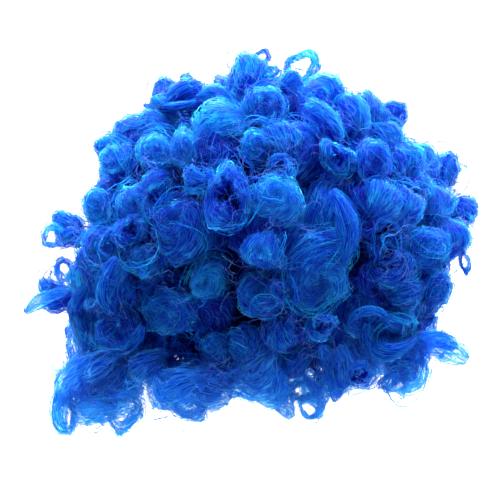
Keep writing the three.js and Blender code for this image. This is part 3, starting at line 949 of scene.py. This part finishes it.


# The layers of a curl from the inside out: the share of its size, how far each is lifted beyond that, and its
# tone, deeper for the inner layers as painted shade within the curl. All of a curl's layers are folded alike,
# by waves that follow the winding and start anywhere, and are ruffled at random.
Layer = namedtuple("Layer", "share lift tone")
LAYERS = {
    "body": Layer(0.76, 0.0, 0.15),
    "haze": Layer(0.9, 0.05, 0.45),
    "fuzz": Layer(0.92, 0.15, 0.55),
}
LAYER_STEPS = 13
LAYER_CORNERS = 18
LAYER_ROOM = 24
LAYER_FOOT, LAYER_TOP = -80, 86
TUBE_WALK = 2.6
FOLD_COUNTS = np.array((2, 3, 5))
FOLD_HEIGHTS = np.array((0.13, 0.1, 0.06))
FOLD_STARTS = (0, 6)
FOLD_TWIST = 2
RUFFLE = 0.045


def ball_grid(curl):
    """The grid of a ball-shaped curl's layers: circles of latitude, folded in and out along the same slanting
    spirals as its strands. Returns the places, the ways out, the folds, and a fibre map along the spirals."""
    slant = np.radians(BALL_SLANTS[curl.kind])
    latitude = np.radians(np.linspace(LAYER_FOOT, LAYER_TOP, LAYER_STEPS))[:, None]
    longitude = np.linspace(2 * np.pi, 0, LAYER_CORNERS + 1)
    spiral = longitude - curl.hand * np.tan(slant) * climb(latitude)
    folds = np.sin(np.multiply.outer(spiral, FOLD_COUNTS) + CHANCE.uniform(*FOLD_STARTS, 3)) @ FOLD_HEIGHTS
    places, outward = ball_shape(longitude, latitude)
    fibres = curl.sizes[1] * np.cos(slant) / FIBRE_PITCH
    lengths = curl.sizes[1] / np.cos(slant) / FIBRE_RUN
    fibre = np.stack(np.broadcast_arrays(climb(latitude) * lengths, spiral * fibres), -1)
    return places[:, :-1], outward[:, :-1], (folds * np.cos(latitude))[:, :-1], fibre


def tube_grid(curl):
    """The grid of a tube-shaped curl's layers: its wall's section carried once round, folded in and out.
    Returns the places, the ways out, the folds, and a fibre map that runs round it."""
    longitude = np.linspace(0, 2 * np.pi, LAYER_CORNERS + 1)
    section = np.linspace(1, 0, LAYER_STEPS)
    places, outward = tube_shape(longitude[:-1, None], section, *TUBE_WALLS[curl.kind])
    waves = np.multiply.outer(longitude[:-1, None] + FOLD_TWIST * section, FOLD_COUNTS)
    folds = np.sin(waves + CHANCE.uniform(*FOLD_STARTS, 3)) @ FOLD_HEIGHTS
    walk = np.linspace(0, TUBE_WALK, LAYER_STEPS + 1) * curl.sizes[1] / FIBRE_PITCH
    along = longitude[:, None] * curl.sizes[1] / FIBRE_RUN
    return places, outward, folds, np.stack(np.broadcast_arrays(along, walk), -1)


def curl_layers(curl):
    """The layers of a curl by name. Each is the curl's grid at a share of its size, lifted and folded
    outwards. Near the table the body is smaller, because the ends are thin there."""
    closed = curl.kind in TUBE_WALLS
    places, outward, folds, fibre = tube_grid(curl) if closed else ball_grid(curl)
    folds = folds + CHANCE.normal(0, RUFFLE, folds.shape)
    tubes = {}
    for name in KINDS[curl.kind].layers:
        layer = LAYERS[name]
        thinner = HEM_THINNER * max(1 - curl.middle[2] / HEM_THIN_BELOW, 0) if name == "body" else 0
        lifted = (layer.share - thinner) * places + outward * (layer.lift + folds)[..., None]
        rings = keep_clear(in_place(curl, lifted))[None]
        tone = layer.tone + curl.tone + painted_shading(rings, curl.middle, curl.normal, curl.sizes[1])
        tubes[name] = Tubes(rings, fibre[None] + CHANCE.uniform(0, FIBRE_PLACES, 2), tone, closed, LAYER_ROOM)
    return tubes


TRESS_STEPS = 13
TRESS_CORNERS = 12
TRESS_SUNK = 0.3
TRESS_FLAT = 0.75
TRESS_TWIST = 4
TRESS_STRANDS = 16
TRESS_STRAND_REACH = (0.95, 1.3)


def seen_tress(seen):
    """A long lock: a cubic curve through its four places carries a flattened round profile, which narrows to
    both ends, as each of a curl's layers, with strands that drift round it. One that hangs free is as far
    away all along as its first place. Returns the layers, the strands and the number of the lock."""
    half = 0.5 * seen.across * PIXEL
    places, normals, locks = zip(*(followed(x, y, TRESS_SUNK * half) for x, y in seen.places))
    away = np.array(places) - view_eye
    if seen.free:
        depths = away @ view_back
        away = away * (depths[0] / depths)[:, None]
    share = np.linspace(0, 1, TRESS_STEPS)
    line = view_eye + np.vander(share, 4) @ np.polyfit(np.linspace(0, 1, 4), away, 3)
    normal = unit(np.sum(normals, axis=0))
    side, up = across_path(line[None], np.broadcast_to(normal, (1, TRESS_STEPS, 3)))
    narrowed = half * narrowed_ends(share)
    around = 2 * np.pi * np.arange(TRESS_CORNERS) / TRESS_CORNERS
    waves = np.multiply.outer(around + TRESS_TWIST * share[:, None], FOLD_COUNTS)
    folds = np.sin(waves + CHANCE.uniform(*FOLD_STARTS, 3)) @ FOLD_HEIGHTS
    folds = folds + CHANCE.normal(0, RUFFLE, waves.shape[:2])
    walked = np.linalg.norm(np.diff(line, axis=0, prepend=line[:1]), axis=-1).cumsum() / FIBRE_RUN
    counted = np.linspace(0, 2 * np.pi, TRESS_CORNERS + 1) * half / FIBRE_PITCH
    fibre = np.stack(np.broadcast_arrays(walked[:, None], counted), -1)[None]

    def beside(angle, reach):
        """Places round the line, at an angle from its side and a reach in half widths."""
        sideways = side[0][:, None] * (np.cos(angle) * reach * narrowed[:, None])[..., None]
        upwards = up[0][:, None] * (np.sin(angle) * TRESS_FLAT * reach * narrowed[:, None])[..., None]
        return keep_clear(line[:, None] + sideways + upwards)

    layers = {}
    for name, layer in LAYERS.items():
        rings = beside(around, layer.share + layer.lift + folds)[None]
        tone = layer.tone + painted_shading(rings, line[:, None], normal, half)
        layers[name] = Tubes(rings, fibre + CHANCE.uniform(0, FIBRE_PLACES, 2), tone, False, LAYER_ROOM)
    drift = CHANCE.uniform(0, 2 * np.pi, TRESS_STRANDS)
    drift = drift + CHANCE.normal(0, 1, TRESS_STRANDS) * share[:, None]
    paths = beside(drift, CHANCE.uniform(*TRESS_STRAND_REACH, TRESS_STRANDS)).transpose(1, 0, 2)
    width = np.full(paths.shape[:2], STRAND_HALF_WIDTH)
    rings = carry_profile(paths, np.broadcast_to(normal, paths.shape), width, width, THREAD_CORNERS)
    tone = CHANCE.uniform(STRAND_DARKEST, STRAND_LIGHTEST, (TRESS_STRANDS, 1, 1))
    tone = tone + painted_shading(rings, line[:, None], normal, half)
    return layers, strand_tubes(rings, tone), locks[0]


STEM_STEPS = 6
STEM_WISPS = 5
STEM_HALF_WIDTH = 0.9 * MM
STEM_WIDTHS = (0.6, 1.3)
STEM_FLAT = 0.4
STEM_ASKEW = 0.3
STEM_BOW = 4 * MM
STEM_ROOT_SPREAD = 0.1
STEM_ROOT_RISE = 0.08
STEM_ROOT_LOWEST = 0.03
STEM_ROOT_LATITUDES = (0.02, 1.5)
STEM_TIP_SPREAD = 0.2
STEM_TONE = 0.35


def stem_wisps(curl):
    """Wide wisps from the net up into the curl: straight lines from near the net's closest place to places
    within the curl, bowed a little to one side."""
    away = (curl.middle - cap_middle) / cap_reach
    azimuth = np.arctan2(away[1], away[0]) + CHANCE.normal(0, STEM_ROOT_SPREAD, STEM_WISPS)
    latitude = np.arctan2(max(away[2], STEM_ROOT_LOWEST), np.hypot(away[0], away[1]))
    latitude = latitude + CHANCE.normal(0, STEM_ROOT_RISE, STEM_WISPS)
    root = on_cap(azimuth, np.clip(latitude, *STEM_ROOT_LATITUDES), CAP_CLEARANCE)
    tip = curl.middle + STEM_TIP_SPREAD * curl.sizes[1] * CHANCE.normal(0, 1, (STEM_WISPS, 3))
    share = np.linspace(0, 1, STEM_STEPS)[:, None]
    bow = CHANCE.normal(0, STEM_BOW, (STEM_WISPS, 1, 3)) * np.sin(np.pi * share)
    paths = keep_clear(root[:, None] + (tip - root)[:, None] * share + bow)
    width = STEM_HALF_WIDTH * CHANCE.uniform(*STEM_WIDTHS, (STEM_WISPS, 1)) * np.ones(STEM_STEPS)
    outward = np.broadcast_to(curl.normal + STEM_ASKEW * curl.axes[0], paths.shape)
    rings = carry_profile(paths, outward, width, width * STEM_FLAT, THREAD_CORNERS)
    return strand_tubes(rings, STEM_TONE)


# The fibre's finish. Shades run from deep to light, through is the colour of light that comes through, and
# through_share how much of it does.
Shades = namedtuple("Shades", "deep blue light through through_share")
CURL_SHADES = Shades(
    (0.008, 0.006, 0.22, 1), (0.01, 0.068, 0.74, 1), (0.016, 0.38, 0.78, 1), (0.03, 0.62, 0.92, 1), 0.6
)
# The root mat's shades: near-black, painted shade for the hair deep under the curls.
ROOT_PAINTED_SHADES = Shades(
    (0.005, 0.004, 0.06, 1), (0.006, 0.016, 0.22, 1), (0.006, 0.06, 0.45, 1), (0.006, 0.1, 0.8, 1), 0.15
)
HAZE_SHADES = Shades(
    (0.008, 0.007, 0.24, 1), (0.01, 0.078, 0.74, 1), (0.02, 0.42, 0.78, 1), (0.05, 0.72, 0.92, 1), 0.72
)
FUZZ_SHADES = Shades(
    (0.01, 0.009, 0.26, 1), (0.016, 0.088, 0.74, 1), (0.03, 0.44, 0.78, 1), (0.05, 0.72, 0.92, 1), 0.72
)
# The ends' shades: a lighter copy of the fibre's, painted light where the glowing floor lights the ends and
# light shines through them; more light also really passes through them.
LIT_END_SHADES = Shades(
    (0.006, 0.02, 0.3, 1), (0.03, 0.24, 0.92, 1), (0.07, 0.46, 1, 1), (0.12, 0.65, 1, 1), 0.85
)
FIBRE_ROUGHNESS = 0.5
FIBRE_SHINE = 0.1
FIBRE_SHINE_TINT = (0.15, 0.5, 1.0, 1)
FIBRE_BUMP = 0.6
FIBRE_BUMP_HEIGHT = 0.4 * MM

# The noises that streak the fibre and clump it, and those of the haze and of the single hairs: how they are
# squeezed along and across the fibres, how fine and how bent they are, and how much they count for. All vary
# about the same middle.
FibreNoise = namedtuple("FibreNoise", "squeeze share")
FIBRE_NOISES = [FibreNoise((1.0, 0.8, 1), 1.0), FibreNoise((0.8, 0.16, 1), 1.2)]
NOISE_MIDDLE = 0.5
FIBRE_DETAIL = 1.0
FIBRE_DISTORTION = 0.6
HAZE_SQUEEZE = (0.7, 0.65, 1)
HAZE_DETAIL = 2.0
HAZE_SHIFT = (31, 17, 0)
HAZE_OPEN, HAZE_SOLID = 0.42, 0.58
HAZE_LEAST = 0.35
END_HAZE_LEAST = 0.2
FUZZ_SQUEEZES = ((0.5, 0.11, 1), (0.9, 0.08, 1), (0.35, 0.17, 1))
FUZZ_DETAIL = 0.0
FUZZ_DISTORTION = 0.8
FUZZ_WIDTH = 0.022
FUZZ_CORE = 0.4
FUZZ_FARTHEST = 1.0


def fibre_noise(tree, squeeze, detail, distortion, shift=(0, 0, 0)):
    """Smooth noise over the fibre map, squeezed along and across the fibres. Returns its value."""
    fibre = tree.nodes.new("ShaderNodeUVMap")
    fibre.uv_map = "fibre"
    stretch = tree.nodes.new("ShaderNodeMapping")
    stretch.inputs["Location"].default_value = shift
    stretch.inputs["Scale"].default_value = squeeze
    noise = tree.nodes.new("ShaderNodeTexNoise")
    noise.noise_dimensions = "2D"
    noise.inputs["Scale"].default_value = 1.0
    noise.inputs["Detail"].default_value = detail
    noise.inputs["Distortion"].default_value = distortion
    tree.links.new(fibre.outputs["UV"], stretch.inputs["Vector"])
    tree.links.new(stretch.outputs["Vector"], noise.inputs["Vector"])
    return noise.outputs["Fac"]


def worked_out(tree, operation, *values):
    """One sum on values that are each a number or another node's output. Returns its result."""
    node = tree.nodes.new("ShaderNodeMath")
    node.operation = operation
    for socket, value in zip(node.inputs, values):
        if isinstance(value, bpy.types.NodeSocket):
            tree.links.new(value, socket)
        else:
            socket.default_value = value
    return node.outputs["Value"]


def fibre_material(name, shades):
    """Curled fibre: each strand's tone, which carries its painted light and shade, with noise drawn out along
    it, fine for the fibres and coarser for the clumps they lie in, runs from deep to light. Part of the light
    goes through, more of it where the tone is light, so that thin edges glow."""
    material = bpy.data.materials.new(name)
    material.use_nodes = True
    tree = material.node_tree
    surface = tree.nodes["Principled BSDF"]
    tone = tree.nodes.new("ShaderNodeAttribute")
    tone.attribute_name = "tone"
    shade = tone.outputs["Fac"]
    for squeeze, share in FIBRE_NOISES:
        noise = fibre_noise(tree, squeeze, FIBRE_DETAIL, FIBRE_DISTORTION)
        centred = worked_out(tree, "SUBTRACT", noise, NOISE_MIDDLE)
        shade = worked_out(tree, "MULTIPLY_ADD", centred, share, shade)
    colours = tree.nodes.new("ShaderNodeValToRGB")
    ramp = colours.color_ramp
    ramp.elements[0].color = shades.deep
    ramp.elements[0].position = 0.0
    ramp.elements[1].color = shades.light
    ramp.elements[1].position = 1.0
    ramp.elements.new(0.5).color = shades.blue
    bump = tree.nodes.new("ShaderNodeBump")
    bump.inputs["Strength"].default_value = FIBRE_BUMP
    bump.inputs["Distance"].default_value = FIBRE_BUMP_HEIGHT
    through = tree.nodes.new("ShaderNodeMix")
    through.data_type = "RGBA"
    through.inputs["A"].default_value = shades.blue
    through.inputs["B"].default_value = shades.through
    glow = tree.nodes.new("ShaderNodeBsdfTranslucent")
    mixed = tree.nodes.new("ShaderNodeMixShader")
    mixed.inputs["Fac"].default_value = shades.through_share
    tree.links.new(shade, colours.inputs["Fac"])
    tree.links.new(shade, through.inputs["Factor"])
    tree.links.new(through.outputs["Result"], glow.inputs["Color"])
    tree.links.new(shade, bump.inputs["Height"])
    tree.links.new(colours.outputs["Color"], surface.inputs["Base Color"])
    tree.links.new(bump.outputs["Normal"], surface.inputs["Normal"])
    surface.inputs["Roughness"].default_value = FIBRE_ROUGHNESS
    surface.inputs["Specular IOR Level"].default_value = FIBRE_SHINE
    surface.inputs["Specular Tint"].default_value = FIBRE_SHINE_TINT
    tree.links.new(surface.outputs["BSDF"], mixed.inputs[1])
    tree.links.new(glow.outputs["BSDF"], mixed.inputs[2])
    tree.links.new(mixed.outputs["Shader"], tree.nodes["Material Output"].inputs["Surface"])
    return material


def open_material(tree, value, clear, solid, least):
    """Lets a material's surface show what is behind it: its cover rises from least, where value is at clear,
    to full, where it is at solid."""
    cover = tree.nodes.new("ShaderNodeMapRange")
    cover.inputs["From Min"].default_value = clear
    cover.inputs["From Max"].default_value = solid
    cover.inputs["To Min"].default_value = least
    ends = tree.nodes["Material Output"].inputs["Surface"]
    behind = tree.nodes.new("ShaderNodeBsdfTransparent")
    opened = tree.nodes.new("ShaderNodeMixShader")
    tree.links.new(value, cover.inputs["Value"])
    tree.links.new(cover.outputs["Result"], opened.inputs["Fac"])
    tree.links.new(behind.outputs["BSDF"], opened.inputs[1])
    tree.links.new(ends.links[0].from_socket, opened.inputs[2])
    tree.links.new(opened.outputs["Shader"], ends)


def haze_material(name, shades, least):
    """Fibre that stands apart in a haze: noise drawn out along the fibres thins it between them, down to its
    least cover."""
    material = fibre_material(name, shades)
    tree = material.node_tree
    noise = fibre_noise(tree, HAZE_SQUEEZE, HAZE_DETAIL, FIBRE_DISTORTION, HAZE_SHIFT)
    open_material(tree, noise, HAZE_OPEN, HAZE_SOLID, least)
    return material


def fuzz_material(name, shades):
    """Single hairs that lie in loose curls: a hair runs wherever one of three smooth noises passes through
    its middle value, and all between is open."""
    material = fibre_material(name, shades)
    tree = material.node_tree
    nearest = FUZZ_FARTHEST
    for squeeze in FUZZ_SQUEEZES:
        noise = fibre_noise(tree, squeeze, FUZZ_DETAIL, FUZZ_DISTORTION)
        centred = worked_out(tree, "SUBTRACT", noise, NOISE_MIDDLE)
        nearest = worked_out(tree, "MINIMUM", nearest, worked_out(tree, "ABSOLUTE", centred))
    open_material(tree, nearest, FUZZ_WIDTH, FUZZ_CORE * FUZZ_WIDTH, 0.0)
    return material


MAT_LIFT = 8.5 * MM
MAT_HALF_WIDTH = 14.0 * MM
MAT_HALF_HEIGHT = 6.5 * MM
MAT_ROUGHNESS = 1.3 * MM
MAT_SWELL = 0.25
MAT_WAVES = (5, 16)
MAT_TONE = 0.05
MAT_STEPS = 96
MAT_CORNERS = 9


def root_mat():
    """The low mat of hair along each sewn row: a soft cord carried round the cap, swelling and shrinking by
    waves, with every point moved a little at random. Its fibre is painted near-black, as the shade deep under
    the curls."""
    azimuth = 2 * np.pi * np.arange(MAT_STEPS) / MAT_STEPS
    waves = np.multiply.outer(CHANCE.integers(*MAT_WAVES, len(WEFT_LATITUDES)), azimuth)
    swell = 1 + MAT_SWELL * np.sin(waves + CHANCE.uniform(*FOLD_STARTS, (len(WEFT_LATITUDES), 1)))
    paths = on_cap(azimuth, WEFT_LATITUDES[:, None], MAT_LIFT)
    outward = paths - cap_middle
    half_width, half_height = MAT_HALF_WIDTH * swell, MAT_HALF_HEIGHT * swell
    rings = carry_profile(paths, outward, half_width, half_height, MAT_CORNERS, closed=True)
    return strand_tubes(rings + CHANCE.normal(0, MAT_ROUGHNESS, rings.shape), MAT_TONE, closed=True)


def row_name(lock):
    """The name of a lock's sewn row. The hem's is called ends, because loose ends of other rows join it."""
    return lock.split("_")[1].replace("hem", "ends")


curled_fibre = fibre_material("curled_fibre", CURL_SHADES)
root_painted_shade_fibre = fibre_material("root_painted_shade_fibre", ROOT_PAINTED_SHADES)
haze_fibre = haze_material("haze_fibre", HAZE_SHADES, HAZE_LEAST)
fuzz_fibre = fuzz_material("fuzz_fibre", FUZZ_SHADES)
end_haze_fibre = haze_material("end_haze_fibre", LIT_END_SHADES, END_HAZE_LEAST)
end_fuzz_fibre = fuzz_material("end_fuzz_fibre", LIT_END_SHADES)
table_curls = [seen_curl(seen) for seen in SEEN_CURLS] + edge_curls()
outer_curls = table_curls + filling_curls(table_curls)
inner_curls = under_curls()
groups = ("ends", "side", "temple", "upper", "crown")
solid = {lock: [] for lock in lock_names}
haze = {group: [] for group in groups}
fuzz = {group: [] for group in groups}
inner = []
end_strands = []
for curl in outer_curls + inner_curls:
    lock = lock_names[curl.lock]
    group = row_name(lock)
    layers = curl_layers(curl)
    strands = wound_strands(curl)
    piece = inner if curl.kind == "inner" and solid[lock] else solid[lock]
    (end_strands if group == "ends" else piece).append(strands)
    if "body" in layers:
        piece += [layers["body"], stem_wisps(curl)]
    if "haze" in layers:
        haze[group].append(layers["haze"])
    if "fuzz" in layers:
        fuzz[group].append(layers["fuzz"])
for seen in SEEN_TRESSES:
    layers, strands, number = seen_tress(seen)
    lock = lock_names[number]
    if seen.bodied:
        solid[lock] += [layers["body"], strands]
        group = row_name(lock)
    else:
        end_strands.append(strands)
        group = "ends"
    haze[group].append(layers["haze"])
    fuzz[group].append(layers["fuzz"])
for lock in lock_names:
    tubes_piece(lock.replace("lock_", "curls_"), solid[lock], curled_fibre, "hair", lock)
for group in groups:
    tubes_piece("haze_" + group, haze[group], end_haze_fibre if group == "ends" else haze_fibre, "hair")
    tubes_piece("fuzz_" + group, fuzz[group], end_fuzz_fibre if group == "ends" else fuzz_fibre, "hair")
tubes_piece("end_strands", end_strands, fibre_material("end_fibre", LIT_END_SHADES), "hair")
tubes_piece("root_mat", [root_mat()], root_painted_shade_fibre, "hair")
tubes_piece("inner_curls", inner, curled_fibre, "hair")

# The frizz: single fibres of the same stuff that have sprung out of their curls. They cross the gaps between
# the curls in loose loops, held at both ends by the hair around them.
FRIZZ_COUNT = 4200
FRIZZ_STEPS = 8
FRIZZ_HALF_WIDTH = 0.08 * MM
FRIZZ_RUN = 18 * MM
FRIZZ_LENGTHS = (0.4, 1.6)
FRIZZ_BEND = 70 * MM
FRIZZ_NEIGHBOURS = 7
FRIZZ_BETWEEN = (0.15, 0.6)
FRIZZ_RAISED = (0.85, 1.4)
FRIZZ_ASKEW = 0.5
FRIZZ_TURN = 0.45
FRIZZ_WAVE = 0.6
FRIZZ_TONES = (0.1, 0.9)
FRIZZ_SHADES = Shades(
    (0.02, 0.05, 0.4, 1), (0.08, 0.2, 0.8, 1), (0.2, 0.4, 0.97, 1), (0.12, 0.5, 1, 1), 0.45
)


def loose_fibres():
    """Curves that lie along the hair. Each has its middle near the gap between a curl and one of its
    neighbours, and turns steadily as it goes, with a slow wave, in a plane a little askew to the hair. It
    sinks at both ends, by the square of the way from its middle, and so follows the hair's roundness."""
    each = (FRIZZ_COUNT, 1)
    middles = np.array([curl.middle for curl in outer_curls])
    normals = np.array([curl.normal for curl in outer_curls])
    radii = np.array([curl.sizes[1] for curl in outer_curls])
    apart = np.linalg.norm(middles[:, None] - middles, axis=-1)
    near = np.argsort(apart, axis=1)[:, 1:FRIZZ_NEIGHBOURS + 1]
    one = CHANCE.choice(len(middles), FRIZZ_COUNT)
    other = near[one, CHANCE.integers(0, FRIZZ_NEIGHBOURS, FRIZZ_COUNT)]
    blend = CHANCE.uniform(*FRIZZ_BETWEEN, each)
    normal = unit(normals[one] + normals[other])
    raised = CHANCE.uniform(*FRIZZ_RAISED, each) * np.minimum(radii[one], radii[other])[:, None]
    start = middles[one] + (middles[other] - middles[one]) * blend + normal * raised
    normal = unit(normal + FRIZZ_ASKEW * unit(CHANCE.normal(0, 1, (FRIZZ_COUNT, 3))))
    first = unit(np.cross(normal, CHANCE.normal(0, 1, (FRIZZ_COUNT, 3))))
    second = np.cross(normal, first)
    share = np.linspace(0, 1, FRIZZ_STEPS)
    turned = 2 * np.pi * CHANCE.normal(0, FRIZZ_TURN, each) * share
    wave = CHANCE.normal(0, FRIZZ_WAVE, each)
    turned = turned + wave * np.sin(2 * np.pi * (share + CHANCE.random(each)))
    step = FRIZZ_RUN * CHANCE.uniform(*FRIZZ_LENGTHS, each) / FRIZZ_STEPS
    ahead = (np.cumsum(step * np.cos(turned), axis=1) - step * FRIZZ_STEPS / 2)[..., None]
    aside = np.cumsum(step * np.sin(turned), axis=1)[..., None]
    drop = (ahead ** 2 + aside ** 2) / FRIZZ_BEND
    paths = start[:, None] + first[:, None] * ahead + second[:, None] * aside - normal[:, None] * drop
    paths = keep_clear(paths)
    thick = np.full(paths.shape[:2], FRIZZ_HALF_WIDTH)
    facing = np.broadcast_to(normal[:, None], paths.shape)
    rings = carry_profile(paths, facing, thick, thick, THREAD_CORNERS)
    return strand_tubes(rings, CHANCE.uniform(*FRIZZ_TONES, (FRIZZ_COUNT, 1, 1)))


tubes_piece("loose_fibres", [loose_fibres()], fibre_material("frizz_fibre", FRIZZ_SHADES), "hair")

# The studio: a plain white floor that glows enough to show no shadow, in a tent that is brightest above and
# behind the wig. Where the tent itself is seen, it is plain white.
FLOOR_REACH = 6.0
FLOOR_PAINT = (0.05, 0.05, 0.05, 1)
FLOOR_ROUGHNESS = 0.9
PLAIN_WHITE = (1, 1, 1, 1)
FLOOR_GLOW = 1.65
TENT_BRIGHTEST_WAY = (0.04, 0.78, 0.63)
TENT_BRIGHT_EDGE = 0.32
TENT_DIM = 0.05
TENT_BRIGHT = 20.5
TENT_SEEN = 1.0

floor_mesh = bpy.data.meshes.new("floor")
floor_corners = np.array([(-1, -1, 0), (1, -1, 0), (1, 1, 0), (-1, 1, 0)]) * FLOOR_REACH
floor_mesh.from_pydata(floor_corners.tolist(), [], [(0, 1, 2, 3)])
floor = bpy.data.objects.new("floor", floor_mesh)
bpy.context.scene.collection.objects.link(floor)
floor_paint = bpy.data.materials.new("floor_paint")
floor_paint.use_nodes = True
floor_surface = floor_paint.node_tree.nodes["Principled BSDF"]
floor_surface.inputs["Base Color"].default_value = FLOOR_PAINT
floor_surface.inputs["Roughness"].default_value = FLOOR_ROUGHNESS
floor_surface.inputs["Emission Color"].default_value = PLAIN_WHITE
floor_surface.inputs["Emission Strength"].default_value = FLOOR_GLOW
floor_mesh.materials.append(floor_paint)

tent = bpy.data.worlds.new("tent")
tent.use_nodes = True
tent_nodes = tent.node_tree.nodes
way = tent_nodes.new("ShaderNodeTexCoord")
towards = tent_nodes.new("ShaderNodeVectorMath")
towards.operation = "DOT_PRODUCT"
towards.inputs[1].default_value = TENT_BRIGHTEST_WAY
strength = tent_nodes.new("ShaderNodeMapRange")
strength.inputs["From Min"].default_value = TENT_BRIGHT_EDGE
strength.inputs["From Max"].default_value = 1.0
strength.inputs["To Min"].default_value = TENT_DIM
strength.inputs["To Max"].default_value = TENT_BRIGHT
tent.node_tree.links.new(way.outputs["Generated"], towards.inputs[0])
tent.node_tree.links.new(towards.outputs["Value"], strength.inputs["Value"])
light_path = tent_nodes.new("ShaderNodeLightPath")
shown = tent_nodes.new("ShaderNodeMix")
shown.inputs["B"].default_value = TENT_SEEN
tent.node_tree.links.new(light_path.outputs["Is Camera Ray"], shown.inputs["Factor"])
tent.node_tree.links.new(strength.outputs["Result"], shown.inputs["A"])
tent.node_tree.links.new(shown.outputs["Result"], tent_nodes["Background"].inputs["Strength"])
tent_nodes["Background"].inputs["Color"].default_value = PLAIN_WHITE
bpy.context.scene.world = tent
bpy.context.scene.view_settings.view_transform = "Standard"
